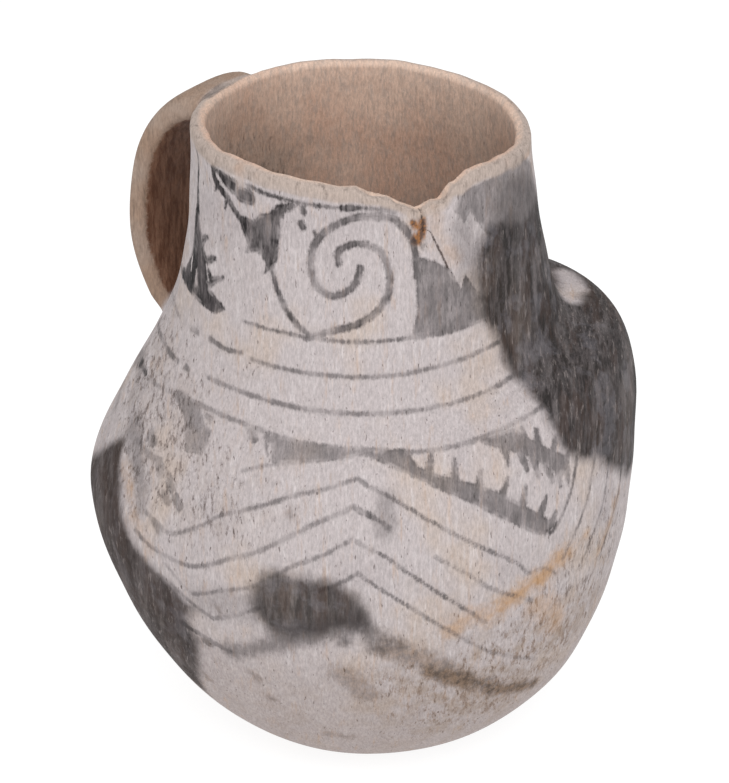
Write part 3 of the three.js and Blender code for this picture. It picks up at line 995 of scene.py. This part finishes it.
COLOURS = {
    # The low slip tone 988982 darkens the foot: partly barer slip, partly painted shade.
    "slip": "B3AAAA", "warm slip": "B9A594", "cool slip": "A49B9C", "shaded low slip": "988982",
    "pale slip": "CCC5C5", "tan streak": "AE8E72", "worn slip": "8E7B6A", "speck": "4A3E39",
    "bare clay": "5C4F4A", "bare low clay": "7A6556", "paint": "1A1617", "thin paint": "4C4647",
    "soot": "191413", "thin soot": "474141", "brown soot": "33241D", "grey soot": "5E5B60",
    "left soot": "33221B", "scratch": "8F8582", "haze": "3B3535", "water stain": "AC8459",
    "dark brown": "4E3F34", "brown": "7A6452", "dark rust": "4A2A0E", "rust": "8A5518",
    "crack": "2E1E17", "lip": "AD9D93", "orange lip": "B18D75", "rubbed lip": "75685F",
    "inside": "D6BAA8", "dull inside": "CEAC98", "grey inside": "A59A93",
    # The inside tone 85776C below is painted shade for the inside's left and right sides.
    "shaded inside": "85776C", "inside speck": "574A43", "strap": "957D6C",
    # The strap's two back tones below are mostly painted shade on its inner face, partly soot.
    "pale strap": "9C897C", "dark strap": "6F5E52", "strap shade": "5A3B2B",
    "lighter strap shade": "7E5D4A",
}


def linear(name):
    """A named colour, as the shader wants it."""
    code = COLOURS[name]
    channels = [int(code[i:i + 2], 16) / 255 for i in (0, 2, 4)]
    return tuple(c / 12.92 if c <= 0.04045 else ((c + 0.055) / 1.055) ** 2.4 for c in channels) + (1.0,)


class Nodes:
    """Adds nodes to a material and links them."""

    def __init__(self, material):
        material.use_nodes = True
        self.tree = material.node_tree
        self.tree.nodes.clear()

    def put(self, socket, value):
        if isinstance(value, bpy.types.NodeSocket):
            self.tree.links.new(value, socket)
        else:
            socket.default_value = value

    def add(self, kind, inputs=(), **settings):
        node = self.tree.nodes.new(kind)
        for name, value in settings.items():
            setattr(node, name, value)
        for key, value in dict(inputs).items():
            self.put(node.inputs[key], value)
        return node

    def field(self, name):
        return self.add("ShaderNodeAttribute", attribute_name=name).outputs["Fac"]

    def math(self, operation, a, b, clamp=False):
        node = self.add("ShaderNodeMath", {0: a, 1: b}, operation=operation, use_clamp=clamp)
        return node.outputs[0]

    def plus(self, a, b):
        return self.math("ADD", a, b)

    def minus(self, a, b):
        return self.math("SUBTRACT", a, b)

    def times(self, a, b, clamp=False):
        return self.math("MULTIPLY", a, b, clamp)

    def centred(self, noise, amount):
        """Noise that swings to both sides of nothing."""
        return self.times(self.minus(noise, 0.5), amount)

    def beyond(self, value, limit, slope):
        """Rises from 0 to 1 above a limit."""
        return self.times(self.minus(value, limit), slope, clamp=True)

    def between(self, value, low, high, to_low=0.0, to_high=1.0):
        """Goes softly from one number to another while the value goes from low to high."""
        inputs = {"Value": value, "From Min": low, "From Max": high, "To Min": to_low, "To Max": to_high}
        return self.add("ShaderNodeMapRange", inputs, interpolation_type="SMOOTHSTEP").outputs["Result"]

    def mix(self, share, a, b):
        """Mixes two colours, each a socket or a name."""
        a, b = (linear(colour) if isinstance(colour, str) else colour for colour in (a, b))
        node = self.add("ShaderNodeMix", {0: share, 6: a, 7: b}, data_type="RGBA")
        return node.outputs[2]

    def noise(self, vector, scale, detail=3.0, roughness=0.5):
        inputs = {"Vector": vector, "Scale": scale, "Detail": detail, "Roughness": roughness}
        return self.add("ShaderNodeTexNoise", inputs).outputs["Fac"]

    def stretched(self, up, front=1.0):
        """Coordinates in millimetres, squeezed upward and toward the front, so noise draws streaks."""
        position = self.add("ShaderNodeTexCoord").outputs["Object"]
        turned = self.add("ShaderNodeVectorRotate", {"Vector": position, "Angle": math.radians(-FRONT)},
                          rotation_type="Z_AXIS").outputs[0]
        scale = (front / MM, 1 / MM, up / MM)
        return self.add("ShaderNodeVectorMath", {0: turned, 1: scale}, operation="MULTIPLY").outputs[0]

    def finish(self, **inputs):
        """The shader that everything runs into, with its inputs named by words joined by underscores."""
        named = {name.replace("_", " "): value for name, value in inputs.items()}
        shader = self.add("ShaderNodeBsdfPrincipled", named)
        output = self.add("ShaderNodeOutputMaterial")
        self.tree.links.new(shader.outputs["BSDF"], output.inputs["Surface"])


def slip_colour(n, streaks, plain, grain):
    """The pale slip: pinkish grey-white with warmer patches, worn thin in places, and darker toward the
    foot, partly barer slip and partly painted shade.
    """
    colour = n.mix(n.between(n.noise(plain, 0.05), 0.5, 0.72, 0, 0.5), "slip", "warm slip")
    colour = n.mix(n.between(n.noise(plain, 0.035, 2.0), 0.52, 0.75, 0, 0.5), colour, "cool slip")
    # Darker toward the foot: partly barer slip, partly painted shade.
    colour = n.mix(n.times(n.field("low"), 0.45), colour, "shaded low slip")
    pale = n.between(n.noise(streaks, 0.9, 3.0, 0.6), 0.5, 0.75)
    colour = n.mix(n.times(pale, n.between(n.field("low"), 0.2, 0.9, 0.5, 0.2)), colour, "pale slip")
    colour = n.mix(n.between(n.noise(streaks, 0.5, 3.0, 0.7), 0.55, 0.75, 0, 0.4), colour, "tan streak")
    browner = n.times(n.field("worn"), n.between(n.noise(plain, 0.16, 4.0, 0.65), 0.4, 0.65))
    browner = n.times(browner, n.between(n.field("low"), 0.05, 0.5, 0.25, 0.6))
    colour = n.mix(browner, colour, "worn slip")
    limit = n.between(n.field("worn"), 0, 1, 0.66, 0.5)
    thin = n.beyond(n.noise(grain, 0.75, 4.0, 0.75), limit, 8.0)
    clay = n.mix(n.between(n.field("low"), 0.05, 0.5), "bare clay", "bare low clay")
    colour = n.mix(n.times(thin, 0.75), colour, clay)
    return n.mix(n.between(n.noise(grain, 1.5, 2.0), 0.67, 0.73, 0, 0.6), colour, "speck")


def lay_paint(n, colour, streaks, fine, plain):
    """Charcoal paint with a brushed edge, darkest where it pooled. Thin lines fade in and out."""
    brushed = n.noise(streaks, 0.9, 4.0, 0.7)
    depth = n.plus(n.field("paint"), n.centred(n.noise(fine, 1.1, 3.0, 0.65), 1.3))
    depth = n.plus(depth, n.centred(brushed, 1.4))
    least = n.between(n.field("paint"), 0.5, 1.2, 0.45, 0.82)
    faded = n.between(n.noise(plain, 0.13, 3.0, 0.6), 0.36, 0.58)
    faded = n.plus(n.times(faded, n.minus(1.0, least)), least)
    share = n.times(n.between(depth, -0.5, 0.45), n.between(brushed, 0.32, 0.6, 0.72, 1.0))
    share = n.times(share, n.times(faded, n.between(n.field("worn"), 0.2, 1.0, 1.0, 0.65)))
    pooled = n.between(n.field("paint"), 0.25, 0.8, 1.0, 0.93)
    share = n.times(share, n.times(n.field("paint_dark"), pooled), clamp=True)
    tone = n.mix(n.between(n.noise(streaks, 0.5, 4.0, 0.75), 0.4, 0.6), "paint", "thin paint")
    return n.mix(share, colour, tone)


def lay_cloud(n, colour, streaks, plain):
    """Fire clouds, smoky at the edge, mottled brown and grey inside, with fine pale scratches."""
    mottled = n.noise(plain, 0.11, 4.0, 0.65)
    streaky = n.noise(streaks, 0.8, 4.0, 0.75)
    ragged = n.plus(n.centred(mottled, 5.0), n.centred(streaky, 2.5))
    share = n.between(n.plus(n.field("cloud"), ragged), -2.8, 2.2)
    share = n.times(share, n.between(n.noise(streaks, 0.25, 4.0, 0.7), 0.35, 0.55, 0.84, 0.97))
    tone = n.mix(n.between(streaky, 0.42, 0.62), "soot", "thin soot")
    tone = n.mix(n.between(n.noise(streaks, 0.22, 4.0, 0.75), 0.46, 0.62, 0, 0.8), tone, "brown soot")
    tone = n.mix(n.between(mottled, 0.36, 0.5, 0.5, 0.0), tone, "grey soot")
    tone = n.mix(n.times(n.field("left_side"), 0.45), tone, "left soot")
    scratches = n.between(n.field("cloud_dark"), 0.95, 0.99, 0.15, 0.45)
    scratched = n.times(n.between(n.noise(streaks, 1.3, 4.0, 0.7), 0.56, 0.68), scratches)
    tone = n.mix(scratched, tone, "scratch")
    return n.mix(n.times(share, n.field("cloud_dark")), colour, tone)


def lay_haze(n, colour, streaks, plain):
    """Thin smoke that greys whatever it lies on."""
    ragged = n.plus(n.centred(n.noise(plain, 0.2, 4.0, 0.65), 6.0),
                    n.centred(n.noise(streaks, 0.8, 4.0, 0.75), 4.0))
    hazy = n.between(n.plus(n.field("haze"), ragged), -2.4, 2.2)
    return n.mix(n.times(hazy, n.field("haze_dark")), colour, "haze")


def lay_stains(n, colour, plain, streaks):
    """Yellow-brown water stains, browned paint low down, and rust at the head of the crack."""
    ragged = n.centred(n.noise(plain, 0.2, 4.0, 0.7), 9.0)
    share = n.times(n.between(n.plus(n.field("stain"), ragged), -2.0, 4.5), n.field("stain_dark"))
    colour = n.mix(share, colour, "water stain")
    streaky = n.centred(n.noise(streaks, 0.8, 4.0, 0.75), 5.0)
    depth = n.plus(n.field("browned"), n.plus(n.times(ragged, 0.7), streaky))
    share = n.times(n.between(depth, -2.0, 2.0), n.field("browned_dark"))
    brown = n.mix(n.between(n.noise(plain, 0.5, 4.0, 0.7), 0.4, 0.6), "dark brown", "brown")
    colour = n.mix(share, colour, brown)
    rusty = n.between(n.plus(n.field("rust"), n.times(streaky, 0.4)), -1.2, 0.4, 0, 0.9)
    rust = n.mix(n.between(n.noise(plain, 0.9), 0.42, 0.58), "dark rust", "rust")
    return n.mix(rusty, colour, rust)


def lip_colour(n, grain, plain):
    """The lip, rubbed to a creamy clay with an orange tinge here and there."""
    colour = n.mix(n.between(n.noise(plain, 0.09), 0.5, 0.72, 0, 0.6), "lip", "orange lip")
    return n.mix(n.between(n.noise(grain, 0.7, 4.0, 0.7), 0.5, 0.75), colour, "rubbed lip")


def inside_colour(n, grain, plain):
    """The bare inside: tan clay, greyed and speckled, with painted shade in places."""
    colour = n.mix(n.between(n.noise(plain, 0.045), 0.4, 0.65), "inside", "dull inside")
    colour = n.mix(n.between(n.noise(grain, 0.8, 4.0, 0.75), 0.42, 0.66, 0, 0.5), colour, "grey inside")
    # Painted shade: darker at the inside's left and right sides, with dark specks thicker there.
    colour = n.mix(n.times(n.field("inside_shade"), 0.5), colour, "shaded inside")
    limit = n.between(n.field("inside_shade"), 0, 1, 0.68, 0.54)
    specks = n.beyond(n.noise(grain, 0.9, 4.0, 0.7), limit, 9.0)
    return n.mix(n.times(specks, 0.6), colour, "inside speck")


def strap_colour(n, plain, streaks):
    """The bare strap: tan clay, rubbed pale along its outside, and dark brown on its inner face toward the
    neck, mostly painted shade and partly soot.
    """
    colour = n.mix(n.between(n.noise(plain, 0.08, 4.0), 0.4, 0.65), "strap", "pale strap")
    colour = n.mix(n.between(n.noise(streaks, 0.7, 4.0, 0.7), 0.5, 0.7, 0, 0.6), colour, "dark strap")
    # Mostly painted shade, partly soot: dark brown on the strap's inner face, which faces the neck.
    behind = n.between(n.noise(streaks, 0.8, 4.0, 0.7), 0.35, 0.65)
    behind = n.mix(behind, "strap shade", "lighter strap shade")
    edge = n.plus(n.field("strap_inner_shade"), n.centred(n.noise(plain, 0.5, 4.0, 0.7), 1.2))
    return n.mix(n.between(edge, 0.25, 0.75), colour, behind)


def make_clay():
    """The one material: clay under slip, stains, paint, smoke and a crack."""
    material = bpy.data.materials.new("slipped_clay")
    n = Nodes(material)
    streaks = n.stretched(0.14, 0.2)
    grain = n.stretched(0.28, 0.5)
    fine = n.stretched(0.8)
    plain = n.stretched(1.0)
    colour = slip_colour(n, streaks, plain, grain)
    colour = lay_stains(n, colour, plain, streaks)
    colour = lay_paint(n, colour, streaks, fine, plain)
    colour = lay_cloud(n, colour, streaks, plain)
    colour = n.mix(n.times(n.field("lip"), 0.9), colour, lip_colour(n, grain, plain))
    colour = n.mix(n.field("hollow"), colour, inside_colour(n, grain, plain))
    colour = n.mix(n.field("strap"), colour, strap_colour(n, plain, streaks))
    colour = lay_haze(n, colour, streaks, plain)
    wander = n.times(n.noise(fine, 1.2, 3.0, 0.7), 0.7)
    cracked = n.between(n.plus(n.field("crack"), wander), 0.2, 0.5)
    colour = n.mix(n.times(cracked, 0.85), colour, "crack")
    brushed = n.noise(grain, 1.9, 4.0, 0.75)
    shade = n.between(brushed, 0.25, 0.75, 0.78, 1.18)
    colour = n.add("ShaderNodeHueSaturation", {"Value": shade, "Color": colour}).outputs["Color"]
    relief = n.plus(brushed, n.times(n.noise(plain, 0.35, 4.0), 1.2))
    relief = n.minus(relief, n.times(cracked, 1.5))
    bump = n.add("ShaderNodeBump", {"Height": relief, "Strength": 0.35, "Distance": 0.0005})
    roughness = n.between(n.noise(fine, 0.5), 0.3, 0.7, 0.72, 0.9)
    n.finish(Base_Color=colour, Roughness=roughness, Specular_IOR_Level=0.25, Normal=bump.outputs["Normal"])
    return material


def make_pitcher():
    """The pot in one piece, cut finer at its paint and dressed."""
    strap = combine(make_handle(), make_core(), "DIFFERENCE")
    pitcher = combine(make_vessel(), strap, "UNION")
    pitcher.name = "pitcher_clay"
    pitcher.data.name = "pitcher_clay"
    blend_joint(pitcher.data)
    cut_finer_at_paint(pitcher.data)
    describe(pitcher.data)
    pitcher.data.shade_smooth()
    pitcher.data.materials.clear()
    pitcher.data.materials.append(make_clay())
    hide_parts("pitcher")
    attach(pitcher, "root")


# Stage

def toward(azimuth, elevation):
    """Unit vector from the pot toward a direction and height of view."""
    turn, rise = math.radians(azimuth), math.radians(elevation)
    return np.array([math.sin(turn) * math.cos(rise), -math.cos(turn) * math.cos(rise), math.sin(rise)])


def aim_at(thing, place, target):
    thing.location = place
    look = (np.array(target) - np.array(place)).tolist()
    thing.rotation_euler = Vector(look).to_track_quat("-Z", "Y").to_euler()


def make_camera():
    camera = bpy.data.cameras.new("camera")
    camera.lens = CAMERA_LENS
    camera.sensor_width = SENSOR
    camera.clip_start = 0.05
    thing = bpy.data.objects.new("camera", camera)
    bpy.context.collection.objects.link(thing)
    place = np.array(AIM) + CAMERA_DISTANCE * toward(CAMERA_AZIMUTH, CAMERA_ELEVATION)
    aim_at(thing, place.tolist(), AIM)
    bpy.context.scene.camera = thing


def make_floor():
    half = FLOOR_WIDTH / 2
    corners = [(-half, -half, 0), (half, -half, 0), (half, half, 0), (-half, half, 0)]
    mesh = bpy.data.meshes.new("floor")
    mesh.from_pydata(corners, [], [(0, 1, 2, 3)])
    floor = bpy.data.objects.new("floor", mesh)
    bpy.context.collection.objects.link(floor)
    material = bpy.data.materials.new("floor_paper")
    Nodes(material).finish(Base_Color=FLOOR_COLOUR, Roughness=0.95, Specular_IOR_Level=0.0,
                           Emission_Color=WHITE, Emission_Strength=FLOOR_GLOW)
    mesh.materials.append(material)
    floor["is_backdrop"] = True


def make_light():
    light = bpy.data.lights.new("key_light", "AREA")
    light.shape = "DISK"
    light.size = LIGHT_SIZE
    light.energy = LIGHT_POWER
    thing = bpy.data.objects.new("key_light", light)
    bpy.context.collection.objects.link(thing)
    place = np.array(AIM) + LIGHT_DISTANCE * toward(LIGHT_AZIMUTH, LIGHT_ELEVATION)
    aim_at(thing, place.tolist(), AIM)


def make_surroundings():
    """A plain white sky."""
    world = bpy.data.worlds.new("studio")
    world.use_nodes = True
    sky = world.node_tree.nodes["Background"]
    sky.inputs["Color"].default_value = WHITE
    sky.inputs["Strength"].default_value = SKY_STRENGTH
    bpy.context.scene.world = world
    bpy.context.scene.view_settings.view_transform = "Standard"


def write_sizes(made_box):
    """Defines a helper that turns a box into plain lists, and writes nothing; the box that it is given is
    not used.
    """
    def plain(box):
        return [[float(v) for v in corner] for corner in box]


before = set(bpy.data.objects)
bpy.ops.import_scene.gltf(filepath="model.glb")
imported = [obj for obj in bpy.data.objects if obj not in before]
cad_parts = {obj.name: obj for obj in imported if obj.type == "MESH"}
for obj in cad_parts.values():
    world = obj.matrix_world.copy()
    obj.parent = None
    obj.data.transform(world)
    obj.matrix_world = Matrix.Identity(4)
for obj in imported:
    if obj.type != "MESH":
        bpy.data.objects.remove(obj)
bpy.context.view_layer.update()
SURFACE = Surface()
make_camera()
make_floor()
make_surroundings()
make_light()
make_pitcher()
write_sizes(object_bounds())
